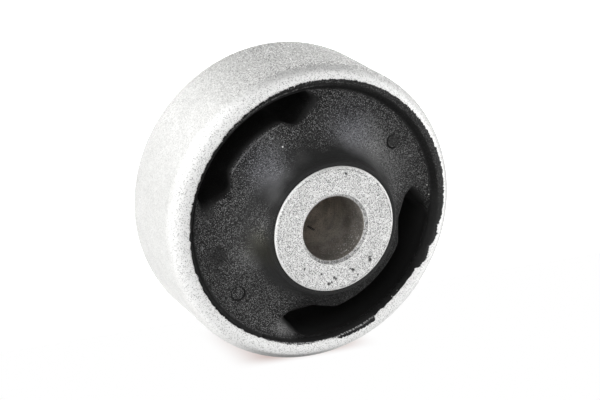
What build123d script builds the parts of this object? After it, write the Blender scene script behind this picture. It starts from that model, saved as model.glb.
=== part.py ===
"""Rubber-to-metal bush: an outer and an inner aluminium sleeve joined by one moulded rubber body.

The bush stands on the inner sleeve's lower end, with its axis along +Z and the origin at the
middle of that end. +X runs from the axis to the middle of the wide void, and the narrow void
lies opposite. Both ends have the same section; the moulding flash and the ejector pin marks
are on the upper end only. Lengths are in millimetres and angles in degrees.
"""

import os
from math import cos, radians, sin

from build123d import *

# Inner sleeve, which takes the bolt
bore_diameter = 12.4
inner_sleeve_wall = 5.8
inner_sleeve_length = 38.0
inner_sleeve_chamfer = 0.4

# Outer sleeve, which is pressed into the arm's eye
outer_sleeve_diameter = 58.0
outer_sleeve_wall = 4.1
outer_sleeve_length = 21.0
outer_sleeve_edge_radius = 3.0

# Rubber section: a hub sweeps up the inner sleeve from a flat face, which is sunk a little into
# the outer sleeve's mouth. The land is what the sweep leaves of the shorter of its two legs.
hub_setback = 0.4
hub_collar_wall = 0.8
hub_sweep_land = 0.3
face_recess = 0.8
face_step_width = 0.9

# Voids, right through the rubber: each runs between a bumper on the hub and the lining on the
# outer sleeve, with a notch beside each end of the bumper. A flank along each spoke reaches in
# from the lining to the tip of the void.
lining_wall = 0.6
bumper_gap = 4.5
notch_depth = 2.1
void_corner_radius = 1.0
wide_bumper_half_angle = 26.0
wide_notch_half_angle = 40.5
wide_lining_half_angle = 44.4
wide_tip_half_angle = 57.3
wide_flank_reach = 4.1
narrow_bumper_half_angle = 19.5
narrow_notch_half_angle = 28.6
narrow_lining_half_angle = 35.2
narrow_tip_half_angle = 38.8
narrow_flank_reach = 2.0

# Moulding flash, a skin that crept out over the outer sleeve's upper end face
flash_overlap = 1.2
flash_inner_thickness = 0.6
flash_edge_thickness = 0.3
flash_start_angle = 19.0
flash_sweep_angle = 170.0
patch_start_angle = 332.5
patch_sweep_angle = 19.0

# Ejector pin marks, one on each spoke between the voids
pin_mark_diameter = 2.8
pin_mark_depth = 0.1
pin_mark_margin = 3.6
pin_mark_angle = 88.0

# Sizes worked out from those above
mid_height = inner_sleeve_length / 2
bore_radius = bore_diameter / 2
inner_sleeve_radius = bore_radius + inner_sleeve_wall
outer_sleeve_radius = outer_sleeve_diameter / 2
outer_sleeve_bore_radius = outer_sleeve_radius - outer_sleeve_wall
lining_radius = outer_sleeve_bore_radius - lining_wall
bumper_radius = lining_radius - bumper_gap
face_edge_radius = outer_sleeve_bore_radius - face_step_width
collar_radius = inner_sleeve_radius + hub_collar_wall
flash_edge_radius = outer_sleeve_bore_radius + flash_overlap
pin_mark_circle_radius = face_edge_radius - pin_mark_margin

# Heights above and below the middle of the bush
hub_top = inner_sleeve_length / 2 - hub_setback
sleeve_end = outer_sleeve_length / 2
face_level = sleeve_end - face_recess
hub_sweep_radius = min(hub_top - face_level, face_edge_radius - collar_radius) - hub_sweep_land


def polar(radius, angle):
    """Return the plan point at a radius and an angle from +X."""
    return (radius * cos(radians(angle)), radius * sin(radians(angle)))


def section_plane(angle):
    """Return the upright plane through the axis at an angle from +X, with its origin at mid height."""
    return Plane(
        origin=(0, 0, mid_height),
        x_dir=(*polar(1, angle), 0),
        z_dir=(*polar(1, angle - 90), 0),
    )


def void_outline(
    facing, bumper_half_angle, notch_half_angle, lining_half_angle, tip_half_angle, flank_reach
):
    """Return the plan outline of a void whose middle lies at the angle facing."""
    corners = [
        polar(bumper_radius, bumper_half_angle),
        polar(bumper_radius - notch_depth, notch_half_angle),
        polar(lining_radius - flank_reach, tip_half_angle),
        polar(lining_radius, lining_half_angle),
    ]
    with BuildSketch(Plane.XY.rotated((0, 0, facing))) as outline:
        with BuildLine():
            Polyline(*corners)
            Polyline(*[(x, -y) for x, y in corners])
            CenterArc((0, 0), bumper_radius, -bumper_half_angle, 2 * bumper_half_angle)
            CenterArc((0, 0), lining_radius, -lining_half_angle, 2 * lining_half_angle)
        make_face()
        fillet(outline.vertices(), void_corner_radius)
    return outline.sketch


def flash_section(start_angle):
    """Return the section of the flash at the angle where a stretch of it starts."""
    with BuildSketch(section_plane(start_angle)) as section:
        with BuildLine():
            Polyline(
                (face_edge_radius, face_level),
                (outer_sleeve_bore_radius, face_level),
                (outer_sleeve_bore_radius, sleeve_end),
                (flash_edge_radius, sleeve_end),
                (flash_edge_radius, sleeve_end + flash_edge_thickness),
                (outer_sleeve_bore_radius, sleeve_end + flash_inner_thickness),
                close=True,
            )
        make_face()
    return section.sketch


wide_void = void_outline(
    0,
    wide_bumper_half_angle,
    wide_notch_half_angle,
    wide_lining_half_angle,
    wide_tip_half_angle,
    wide_flank_reach,
)
narrow_void = void_outline(
    180,
    narrow_bumper_half_angle,
    narrow_notch_half_angle,
    narrow_lining_half_angle,
    narrow_tip_half_angle,
    narrow_flank_reach,
)

with BuildPart() as inner_sleeve:
    with BuildSketch():
        Circle(inner_sleeve_radius)
        Circle(bore_radius, mode=Mode.SUBTRACT)
    extrude(amount=inner_sleeve_length)
    chamfer(inner_sleeve.edges().filter_by(GeomType.CIRCLE), inner_sleeve_chamfer)
inner_sleeve.part.label = "inner_sleeve"

with BuildPart() as outer_sleeve:
    with BuildSketch(Plane.XY.offset(mid_height - sleeve_end)):
        Circle(outer_sleeve_radius)
        Circle(outer_sleeve_bore_radius, mode=Mode.SUBTRACT)
    extrude(amount=outer_sleeve_length)
    rim_edges = outer_sleeve.edges().filter_by(GeomType.CIRCLE).group_by(SortBy.RADIUS)[-1]
    fillet(rim_edges, outer_sleeve_edge_radius)
outer_sleeve.part.label = "outer_sleeve"

with BuildPart() as rubber_body:
    with BuildSketch(section_plane(0)):
        with BuildLine():
            Polyline((inner_sleeve_radius, 0), (inner_sleeve_radius, hub_top), (collar_radius, hub_top))
            FilletPolyline(
                (collar_radius, hub_top),
                (collar_radius, face_level),
                (face_edge_radius, face_level),
                radius=hub_sweep_radius,
            )
            Polyline(
                (face_edge_radius, face_level),
                (outer_sleeve_bore_radius, sleeve_end),
                (outer_sleeve_bore_radius, 0),
            )
            mirror(about=Plane.XZ)
        make_face()
    revolve(axis=Axis.Z)
    for outline in (wide_void, narrow_void):
        extrude(outline, amount=inner_sleeve_length, mode=Mode.SUBTRACT)
    revolve(flash_section(flash_start_angle), axis=Axis.Z, revolution_arc=flash_sweep_angle)
    revolve(flash_section(patch_start_angle), axis=Axis.Z, revolution_arc=patch_sweep_angle)
    with BuildSketch(Plane.XY.offset(mid_height + face_level - pin_mark_depth)):
        pin_marks = [polar(pin_mark_circle_radius, side * pin_mark_angle) for side in (1, -1)]
        with Locations(*pin_marks):
            Circle(pin_mark_diameter / 2)
    extrude(amount=hub_top - face_level, mode=Mode.SUBTRACT)
rubber_body.part.label = "rubber_body"

os.makedirs("parts", exist_ok=True)
for piece in (inner_sleeve, outer_sleeve, rubber_body):
    export_step(piece.part, f"parts/{piece.part.label}.step")
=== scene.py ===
"""Rubber-to-metal bush: the visual model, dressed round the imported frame.

The bush stands on its inner sleeve with its axis along +Z. +X runs from the axis to the middle of
the wide void. Sizes are in millimetres and angles in degrees; only finished meshes, lights and the
camera are in metres. Heights in the shape code are measured from the middle of the bush.
"""

import logging
import math
from dataclasses import dataclass, field
from enum import Enum
from typing import Callable, Optional, Sequence, Union

import bmesh
import bpy
import numpy as np
from mathutils import Matrix, Vector


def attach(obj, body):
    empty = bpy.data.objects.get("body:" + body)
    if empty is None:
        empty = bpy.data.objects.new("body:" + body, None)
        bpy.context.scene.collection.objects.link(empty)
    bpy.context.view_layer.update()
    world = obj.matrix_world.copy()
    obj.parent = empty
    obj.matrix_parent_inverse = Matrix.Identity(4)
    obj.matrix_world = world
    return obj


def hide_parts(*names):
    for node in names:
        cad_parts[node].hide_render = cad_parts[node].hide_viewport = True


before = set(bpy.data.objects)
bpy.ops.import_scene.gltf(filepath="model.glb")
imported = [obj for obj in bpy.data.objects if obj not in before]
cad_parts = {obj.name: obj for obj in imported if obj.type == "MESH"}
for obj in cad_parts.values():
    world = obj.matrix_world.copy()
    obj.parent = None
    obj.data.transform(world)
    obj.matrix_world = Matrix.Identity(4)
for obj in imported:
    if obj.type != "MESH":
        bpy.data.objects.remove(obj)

MM = 0.001
SAME_POINT = 2e-7  # in metres; points closer than this are joined
CRISP_ANGLE = 35.0  # in degrees; edges that turn by more stay crisp
WHITE = (1.0, 1.0, 1.0, 1.0)
BODY = "root"
LOG = logging.getLogger("bush")

Value = Union[float, Sequence[float], "Field"]
Inputs = dict[Union[int, str], Value]
Fields = dict[str, "Field"]
Knots = tuple[tuple[float, float], ...]
Mark = tuple[float, float, float, float]
Colour = tuple[float, float, float]
Array = np.ndarray


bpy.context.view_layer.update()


class BushSizes:
    """Main sizes that the pieces share, as the frame has them."""

    mid_height = 19.0
    bore_radius = 6.2
    inner_radius = 12.0
    inner_end = 19.0
    chamfer = 0.4
    outer_radius = 29.0
    outer_bore = 24.9
    outer_end = 10.5
    outer_round = 3.0
    face_level = 9.7
    face_edge = 24.0
    lining = 24.3
    bumper = 19.8


# ---------------------------------------------------------------- shape helpers


def smooth_step(x: Array) -> Array:
    """Return 0 below 0, 1 above 1 and an even rise between."""
    t = np.clip(x, 0.0, 1.0)
    return t * t * (3.0 - 2.0 * t)


def polar(radius: Union[float, Array], angle: Union[float, Array]) -> Array:
    """Return plan points at radii and angles in degrees."""
    turn = np.radians(angle)
    return np.stack([radius * np.cos(turn), radius * np.sin(turn)], -1)


def angle_gap(a: Array, b: float) -> Array:
    """Return a - b in degrees, brought into -180 to 180."""
    return (np.asarray(a, float) - b + 180.0) % 360.0 - 180.0


def ring_height(radius: Array) -> Array:
    """Return how high the outer sleeve's upper end lies at each radius."""
    big = BushSizes.outer_round
    over = np.clip(radius - BushSizes.outer_radius + big, 0.0, big)
    return BushSizes.outer_end - big + np.sqrt(big ** 2 - over ** 2)


@dataclass(frozen=True)
class Ripple:
    """A repeatable uneven line round the axis.

    Attributes:
        seed: Picks the line.
        lowest: Fewest waves in a full turn.
        highest: Most waves in a full turn.
        count: How many waves are added up.
    """

    seed: int
    lowest: int
    highest: int
    count: int = 24

    def at(self, angle: Array) -> Array:
        """Return the line's value, about -1 to 1, at angles in degrees."""
        rng = np.random.default_rng(self.seed)
        waves = rng.integers(self.lowest, self.highest + 1, self.count)
        phases = rng.uniform(0.0, 2.0 * math.pi, self.count)
        turn = np.radians(np.asarray(angle, float))
        total = sum(np.sin(w * turn + p) for w, p in zip(waves, phases))
        return total / math.sqrt(self.count)


def linked(name: str, data: bpy.types.ID) -> bpy.types.Object:
    """Return a new object that shows the data, linked to the scene."""
    made = bpy.data.objects.new(name, data)
    bpy.context.scene.collection.objects.link(made)
    return made


def shown_object(name: str, points: Array, faces: list) -> bpy.types.Object:
    """Make a smooth-shaded mesh object from points in millimetres and link it.

    Args:
        name: The piece's name.
        points: Points as rows of x, y and z.
        faces: Lists of point numbers.

    Returns:
        The linked object, with its faces turned outwards.
    """
    mesh = bpy.data.meshes.new(name)
    mesh.from_pydata((points * MM).tolist(), [], faces)
    work = bmesh.new()
    work.from_mesh(mesh)
    bmesh.ops.remove_doubles(work, verts=work.verts, dist=SAME_POINT)
    loose = [v for v in work.verts if not v.link_faces]
    bmesh.ops.delete(work, geom=loose, context="VERTS")
    bmesh.ops.recalc_face_normals(work, faces=work.faces)
    work.to_mesh(mesh)
    work.free()
    mesh.polygons.foreach_set("use_smooth", [True] * len(mesh.polygons))
    mesh.set_sharp_from_angle(angle=math.radians(CRISP_ANGLE))
    return linked(name, mesh)


def strips(columns: int, rows: Sequence[tuple[int, int]], per_column: int,
           kept: Optional[Array] = None) -> list:
    """Return the faces that join pairs of rows round a closed set of columns.

    Args:
        columns: How many columns go round the axis.
        rows: Pairs of row numbers to join.
        per_column: How many points a column holds.
        kept: Whether the gap after each column gets faces, or None for all.

    Returns:
        Faces as lists of four point numbers.
    """
    here = np.arange(columns)
    if kept is not None:
        here = here[kept]
    there = (here + 1) % columns
    quads = []
    for low, high in rows:
        quads.append(np.stack([here * per_column + low, there * per_column + low,
                               there * per_column + high, here * per_column + high], -1))
    return np.concatenate(quads).tolist()


def grid_points(angle: Array, radius: Array, height: Array) -> Array:
    """Return the points of all columns, given each row's radius and height above mid in each column."""
    plan = polar(radius, angle[:, None] * np.ones_like(radius))
    return np.concatenate([plan, height[..., None] + BushSizes.mid_height], -1).reshape(-1, 3)


def hang(piece: bpy.types.Object, slot: "Slot", finish: "Finish") -> bpy.types.Object:
    """Give a piece its finish and let it stand for the frame's solid of the same slot.

    Args:
        piece: The piece.
        slot: Its material slot, which is also the name of the solid.
        finish: What it is made of.

    Returns:
        The piece.
    """
    piece.data.materials.append(finish.build())
    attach(piece, BODY)
    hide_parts(slot.value)
    return piece


# ---------------------------------------------------------------- shader helpers


class Wiring:
    """Adds nodes to one tree and joins them."""

    def __init__(self, tree: bpy.types.NodeTree) -> None:
        """Keep the tree and start an empty row of nodes."""
        self.tree = tree
        self.count = 0

    def fill(self, node: bpy.types.Node, inputs: Inputs) -> None:
        """Link a node's inputs, by name or number, to fields or give them plain values."""
        for key, value in inputs.items():
            if isinstance(value, Field):
                self.tree.links.new(value.socket, node.inputs[key])
            else:
                node.inputs[key].default_value = value

    def node(self, kind: str, inputs: Inputs, **settings: object) -> bpy.types.Node:
        """Add a node, set its plain properties and fill its inputs."""
        made = self.tree.nodes.new(kind)
        made.location = (self.count * 40, -(self.count % 7) * 120)
        self.count += 1
        for key, value in settings.items():
            setattr(made, key, value)
        self.fill(made, inputs)
        return made

    def out(self, kind: str, inputs: Inputs, output: Union[int, str] = 0, **settings: object) -> "Field":
        """Add a node and return one of its outputs."""
        return Field(self, self.node(kind, inputs, **settings).outputs[output])


class Field:
    """A number, colour or place that the shader works out at every point.

    The signs for plus, minus, times and divided by each add a Math node.
    """

    def __init__(self, wiring: Wiring, socket: bpy.types.NodeSocket) -> None:
        """Keep the wiring and the socket that puts the field out."""
        self.wiring = wiring
        self.socket = socket

    def math(self, operation: str, *others: Value) -> "Field":
        """Return the result of one Math node."""
        return self.wiring.out("ShaderNodeMath", dict(enumerate((self, *others))), operation=operation)

    def vector(self, operation: str, *others: Value) -> "Field":
        """Return the result of one Vector Math node."""
        output = "Value" if operation in ("DISTANCE", "DOT_PRODUCT") else "Vector"
        return self.wiring.out("ShaderNodeVectorMath", dict(enumerate((self, *others))), output,
                               operation=operation)

    def __add__(self, other: Value) -> "Field":
        """Return the sum."""
        return self.math("ADD", other)

    def __sub__(self, other: Value) -> "Field":
        """Return the difference."""
        return self.math("SUBTRACT", other)

    def __rsub__(self, other: float) -> "Field":
        """Return a number less this field."""
        return self.wiring.out("ShaderNodeMath", {0: other, 1: self}, operation="SUBTRACT")

    def __mul__(self, other: Value) -> "Field":
        """Return the product."""
        return self.math("MULTIPLY", other)

    def __truediv__(self, other: Value) -> "Field":
        """Return the quotient."""
        return self.math("DIVIDE", other)

    def __rtruediv__(self, other: float) -> "Field":
        """Return a number divided by this field."""
        return self.wiring.out("ShaderNodeMath", {0: other, 1: self}, operation="DIVIDE")

    def __abs__(self) -> "Field":
        """Return the field without its sign."""
        return self.math("ABSOLUTE")

    def most(self, other: Value) -> "Field":
        """Return the larger of two fields."""
        return self.math("MAXIMUM", other)

    def span(self, low: Value, high: Value, to_low: Value = 0.0, to_high: Value = 1.0,
             kind: str = "SMOOTHSTEP") -> "Field":
        """Return the field carried from the range low..high to to_low..to_high, held at its ends."""
        inputs = {"Value": self, "From Min": low, "From Max": high, "To Min": to_low, "To Max": to_high}
        return self.wiring.out("ShaderNodeMapRange", inputs, interpolation_type=kind, clamp=True)

    def even(self, low: Value, high: Value, to_low: Value = 0.0, to_high: Value = 1.0) -> "Field":
        """Return the same as span does, but along a straight line."""
        return self.span(low, high, to_low, to_high, "LINEAR")

    def fall(self, low: Value, high: Value) -> "Field":
        """Return 1 below low, 0 above high and a soft fall between."""
        return self.span(low, high, 1.0, 0.0)

    def mix(self, a: Value, b: Value) -> "Field":
        """Return number a turned into number b by this much."""
        return self.wiring.out("ShaderNodeMix", {0: self, 2: a, 3: b}, data_type="FLOAT", clamp_factor=True)

    def blend(self, a: Value, b: Value, mode: str = "MIX") -> "Field":
        """Return colour a turned into colour b by this much."""
        under, over = ((*colour, 1.0) if isinstance(colour, tuple) else colour for colour in (a, b))
        return self.wiring.out("ShaderNodeMix", {0: self, 6: under, 7: over}, 2, data_type="RGBA",
                               blend_type=mode, clamp_factor=True)

    def tint(self, colour: Value) -> "Field":
        """Return a colour made this many times as light."""
        return self.wiring.out("ShaderNodeVectorMath", {0: colour, "Scale": self}, operation="SCALE")

    def round_line(self, knots: Knots) -> "Field":
        """Return what pairs of angle and value give at this angle, on straight lines between them."""
        made = self.wiring.node("ShaderNodeValToRGB", {0: self.even(-180.0, 180.0)})
        stops = made.color_ramp.elements
        for number, (angle, level) in enumerate(knots):
            at = (angle + 180.0) / 360.0
            stop = stops.new(at) if 0 < number < len(knots) - 1 else stops[0 if number == 0 else -1]
            stop.position = at
            stop.color = (level, level, level, 1.0)
        return Field(self.wiring, made.outputs[0])

    def parts(self, kind: str) -> list["Field"]:
        """Return all that a node which takes the field apart puts out."""
        return [Field(self.wiring, socket) for socket in self.wiring.node(kind, {0: self}).outputs]

    def noise(self, size: Value, detail: float, rough: float, output: str = "Fac") -> "Field":
        """Return a soft noise at this place whose bumps are about size millimetres across."""
        inputs = {"Vector": self, "Scale": 1.0 / MM / size, "Detail": detail, "Roughness": rough}
        return self.wiring.out("ShaderNodeTexNoise", inputs, output, noise_dimensions="3D", normalize=True)

    def pushed(self, size: float, reach: float) -> "Field":
        """Return this place pushed about by up to reach millimetres at bumps of the given size."""
        push = self.noise(size, 2.0, 0.5, "Color").vector("SUBTRACT", (0.5, 0.5, 0.5))
        return push.vector("MULTIPLY_ADD", (2.0 * reach * MM,) * 3, self)

    def bump(self, strength: float, distance: float) -> "Field":
        """Return a normal tilted by this height; distance is in millimetres."""
        inputs = {"Height": self, "Strength": strength, "Distance": distance * MM}
        return self.wiring.out("ShaderNodeBump", inputs)


class Effect:
    """A shader node group that several finishes place with their own values.

    Each input has the value that it starts with, or None where it takes a place.
    """

    name: str = ""
    takes: dict[str, Optional[float]] = {}
    gives: tuple[str, ...] = ()

    def tree(self) -> bpy.types.NodeTree:
        """Return the group's tree, built the first time that it is asked for."""
        found = bpy.data.node_groups.get(self.name)
        if found:
            return found
        made = bpy.data.node_groups.new(self.name, "ShaderNodeTree")
        for label, value in self.takes.items():
            kind = "NodeSocketVector" if value is None else "NodeSocketFloat"
            socket = made.interface.new_socket(name=label, in_out="INPUT", socket_type=kind)
            if value is not None:
                socket.default_value = value
        for label in self.gives:
            made.interface.new_socket(name=label, in_out="OUTPUT", socket_type="NodeSocketFloat")
        wiring = Wiring(made)
        entry = wiring.node("NodeGroupInput", {})
        given = {socket.name: Field(wiring, socket) for socket in entry.outputs if socket.name}
        wiring.node("NodeGroupOutput", self.wire(given))
        return made

    def wire(self, given: Fields) -> Fields:
        """Build the group's nodes and return what it puts out."""
        raise NotImplementedError

    def on(self, place: Field, **values: Value) -> Fields:
        """Put the group at a place, with its other inputs, and return its outputs by name."""
        made = place.wiring.node("ShaderNodeGroup", {"Place": place, **values}, node_tree=self.tree())
        return {socket.name: Field(place.wiring, socket) for socket in made.outputs}


class AxisPlace(Effect):
    """Where a point lies round the bush's axis: radius, turn and height."""

    name = "axis_place"
    takes = {"Place": None}
    gives = ("Radius", "Turn", "Height")

    def wire(self, given: Fields) -> Fields:
        """Split the place into millimetres from the axis, degrees from +X and height above mid."""
        x, y, z = given["Place"].parts("ShaderNodeSeparateXYZ")
        radius = x.math("MULTIPLY_ADD", x, y * y).math("SQRT") / MM
        turn = y.math("ARCTAN2", x).math("DEGREES")
        return {"Radius": radius, "Turn": turn, "Height": z / MM - BushSizes.mid_height}


class Speckle(Effect):
    """Fine sharp dots of uneven strength, a tone for each grain and a soft relief, all at one scale."""

    name = "speckle"
    takes = {"Place": None, "Size": 0.2, "Cover": 0.3}
    gives = ("Dots", "Grit", "Relief")
    oblique = (0.62, 0.87, 0.35)

    def wire(self, given: Fields) -> Fields:
        """Turn the cells out of line with the surfaces, pick some of them and fade each from its middle."""
        wiring, size = given["Place"].wiring, given["Size"]
        place = wiring.out("ShaderNodeMapping", {"Vector": given["Place"], "Rotation": self.oblique})
        cell = wiring.node("ShaderNodeTexVoronoi", {"Vector": place, "Scale": 1.0 / MM / size},
                           voronoi_dimensions="3D", feature="F1")
        pick, grit, _ = Field(wiring, cell.outputs["Color"]).parts("ShaderNodeSeparateColor")
        fade = Field(wiring, cell.outputs["Distance"]).fall(0.35, 0.65)
        return {"Dots": pick.even(1.0 - given["Cover"], 1.0) * fade, "Grit": grit,
                "Relief": place.noise(size * 1.3, 2.0, 0.6)}


class Mottle(Effect):
    """Soft uneven patches, broken up by a finer noise."""

    name = "mottle"
    takes = {"Place": None, "Patch": 4.0, "Grit": 0.4}
    gives = ("Film",)

    def wire(self, given: Fields) -> Fields:
        """Multiply a broad noise by a fine one."""
        patch = given["Place"].noise(given["Patch"], 3.0, 0.55)
        fine = given["Place"].noise(given["Grit"], 2.0, 0.6)
        return {"Film": patch.span(0.35, 0.7) * fine.span(0.25, 0.75)}


class Spot(Effect):
    """One soft round spot at a place on the bush."""

    name = "spot"
    takes = {"Place": None, "Centre": None, "Size": 1.0, "Softness": 0.5}
    gives = ("Mask",)

    def wire(self, given: Fields) -> Fields:
        """Fade with the distance from the spot's centre; size is its radius in millimetres."""
        away = given["Place"].vector("DISTANCE", given["Centre"]) / MM / given["Size"]
        return {"Mask": away.fall(1.0 - given["Softness"], 1.0)}


def spots(place: Field, marks: Sequence[Mark], softness: float) -> Field:
    """Return the mask of a row of spots.

    Args:
        place: The place, or this pushed about a little for an uneven edge.
        marks: Each spot's x, y, height above mid and radius.
        softness: Share of the radius over which a spot fades.

    Returns:
        A mask that is 1 inside the spots.
    """
    mask: Optional[Field] = None
    for x, y, height, size in marks:
        centre = (x * MM, y * MM, (height + BushSizes.mid_height) * MM)
        spot = Spot().on(place, Centre=centre, Size=size, Softness=softness)["Mask"]
        mask = mask.most(spot) if mask else spot
    return mask


def new_material(name: str, wire: Callable[[Field], Inputs]) -> bpy.types.Material:
    """Make a material.

    Args:
        name: Its name.
        wire: Returns the shader's inputs, given the place in the bush's own frame in metres.

    Returns:
        The material.
    """
    material = bpy.data.materials.new(name)
    material.use_nodes = True
    wiring = Wiring(material.node_tree)
    place = wiring.out("ShaderNodeTexCoord", {}, "Object")
    wiring.fill(material.node_tree.nodes["Principled BSDF"], wire(place))
    return material


def seen_by_camera(wiring: Wiring) -> Field:
    """Return 1 where the camera itself looks and 0 where only light arrives."""
    return wiring.out("ShaderNodeLightPath", {}, "Is Camera Ray")


# ---------------------------------------------------------------- finishes


class Slot(Enum):
    """The record's material slots; each solid has the same name as its slot."""

    OUTER = "outer_sleeve"
    INNER = "inner_sleeve"
    RUBBER = "rubber_body"


class Finish:
    """What a piece is made of."""

    name: str

    def build(self) -> bpy.types.Material:
        """Return the material with its nodes."""
        return new_material(self.name, self.wire)

    def wire(self, place: Field) -> Inputs:
        """Return the shader's inputs."""
        raise NotImplementedError


@dataclass(frozen=True)
class BlastedAluminium(Finish):
    """Grit-blasted aluminium: silver white, with fine dark specks and faint mottling.

    Attributes:
        name: The material's name.
        base: Colour of the clean metal.
        speck: Colour of the darkest specks.
        cover: Share of the surface that the specks take.
        grain: Size of a speck in millimetres.
        contrast: How much lighter or darker one grain is than the next.
        mottling: How strongly the soft patches darken the metal.
        metallic: How metallic the blasted skin is.
        roughness: Mean roughness.
        uneven: How much the roughness varies to each side.
        relief: Depth of the blasted relief in millimetres.
    """

    name: str
    base: Colour = (0.66, 0.66, 0.65)
    speck: Colour = (0.12, 0.12, 0.12)
    cover: float = 0.6
    grain: float = 0.2
    contrast: float = 0.45
    mottling: float = 0.12
    metallic: float = 0.65
    roughness: float = 0.7
    uneven: float = 0.08
    relief: float = 0.03

    def wire(self, place: Field) -> Inputs:
        """Return the shader's inputs, from the specks, the mottling and the piece's own stains."""
        where = AxisPlace().on(place)
        specks = Speckle().on(place, Size=self.grain, Cover=self.cover)
        speck_strength = self.speck_strength(where)
        grit = (specks["Grit"] * 2.0 - 1.0) * (speck_strength * self.contrast) + 1.0
        colour = (specks["Dots"] * speck_strength).blend(grit.tint(self.base), self.speck)
        film = Mottle().on(place, Patch=3.0, Grit=0.5)["Film"]
        colour = (film * self.mottling).blend(colour, self.speck)
        rough = specks["Relief"].span(0.3, 0.7, self.roughness - self.uneven, self.roughness + self.uneven)
        return {"Base Color": self.stain(colour, place, where, specks), "Metallic": self.metallic,
                "Roughness": rough, "Normal": specks["Relief"].bump(0.6, self.relief)}

    def speck_strength(self, where: Fields) -> Value:
        """Return how strongly the specks show at a place; on plain metal they show fully."""
        return 1.0

    def stain(self, colour: Field, place: Field, where: Fields, specks: Fields) -> Field:
        """Return the colour with the piece's own stains; plain metal has none."""
        return colour


@dataclass(frozen=True)
class RingAluminium(BlastedAluminium):
    """Blasted aluminium with rubber smeared over the bore's edge.

    Attributes:
        lit_end: Colour of the end face and its round, whose blast is coarser; lighter than the side as
            painted light.
        speck_shading: Pairs of angle and how strongly the side's specks show there; strong from 90 to 150
            degrees as painted shade, weak from -150 to -90 degrees as painted light.
        side_light: Pairs of angle and how much of its lightness the side and its round keep there, as painted
            light and shade round the ring.
        band: Pairs of angle and how strongly the painted shade along the round under the end face shows
            there.
        band_loss: Share of its lightness that the round loses to that painted shade.
        smear: Colour of the smear.
        smear_reach: How far it reaches over the end face in millimetres.
    """

    lit_end: Colour = (0.74, 0.74, 0.735)
    # Speck strength round the side: partly grain, partly painted shade where strong and painted light where
    # weak.
    speck_shading: Knots = (
        (-180, 0.5), (-150, 0.3), (-90, 0.3), (0, 0.6), (90, 1.4), (110, 1.8), (150, 1.7), (180, 0.5))
    # Painted light and shade round the side: much darker where the side meets the shadow card, darker from 20
    # to 110 degrees, a little lighter near 180 and -84 degrees.
    side_light: Knots = (
        (-180, 1.1), (-168, 1.14), (-156, 1.05), (-144, 0.98), (-108, 1.02), (-84, 1.15), (-72, 0.95),
        (-60, 0.5), (-48, 0.35), (-36, 0.5), (-24, 0.95), (0, 1.0), (20, 0.9), (40, 0.78), (70, 0.84),
        (95, 0.89), (108, 0.93), (120, 1.02), (132, 0.96), (144, 0.97), (156, 0.93), (168, 0.99), (180, 1.1))
    # Painted shade along the round, strongest from 120 to 160 degrees and round 60 degrees.
    band: Knots = (
        (-180, 0.0), (20, 0.0), (36, 0.3), (60, 0.5), (72, 0.2), (90, 0.1), (108, 0.0), (120, 0.3),
        (132, 0.6), (144, 0.7), (156, 0.45), (168, 0.1), (176, 0.0), (180, 0.0))
    band_loss: float = 0.3
    smear: Colour = (0.1, 0.1, 0.1)
    smear_reach: float = 0.6

    def speck_strength(self, where: Fields) -> Value:
        """Return how strongly the specks show round the side, which also paints shade and light onto it."""
        return where["Turn"].round_line(self.speck_shading)

    def stain(self, colour: Field, place: Field, where: Fields, specks: Fields) -> Field:
        """Return the colour with the end painted lighter as painted light, the painted light and shade round
        the side and the smear, which thins out away from the bore.
        """
        level = abs(where["Height"])
        tone, band = (where["Turn"].round_line(knots) for knots in (self.side_light, self.band))
        # The end face and its round get a lighter colour than the side: painted light, over a coarser blast.
        end = level.span(BushSizes.outer_end - 2.2, BushSizes.outer_end - 0.2)
        colour = end.blend(colour, self.lit_end)
        coarse = Speckle().on(place, Size=0.19, Cover=0.55)["Dots"]
        colour = (end * coarse * 0.8).blend(colour, self.speck)
        # Painted shade along the round under the end face.
        strip = band * level.span(8.4, 9.2) * level.fall(9.6, 10.3) * self.band_loss
        # Painted light and shade round the side and the round, less the painted shade along the round.
        colour = (level.span(9.7, 10.25).mix(tone, 1.0) - strip).tint(colour)
        reach = place.noise(1.6, 3.0, 0.6).span(0.3, 0.7, 0.25, self.smear_reach)
        near = ((where["Radius"] - BushSizes.outer_bore) / reach).fall(0.35, 1.0)
        grit = place.noise(0.28, 1.0, 0.5).span(0.42, 0.6)
        return (near * grit * 0.8).blend(colour, self.smear)


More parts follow.
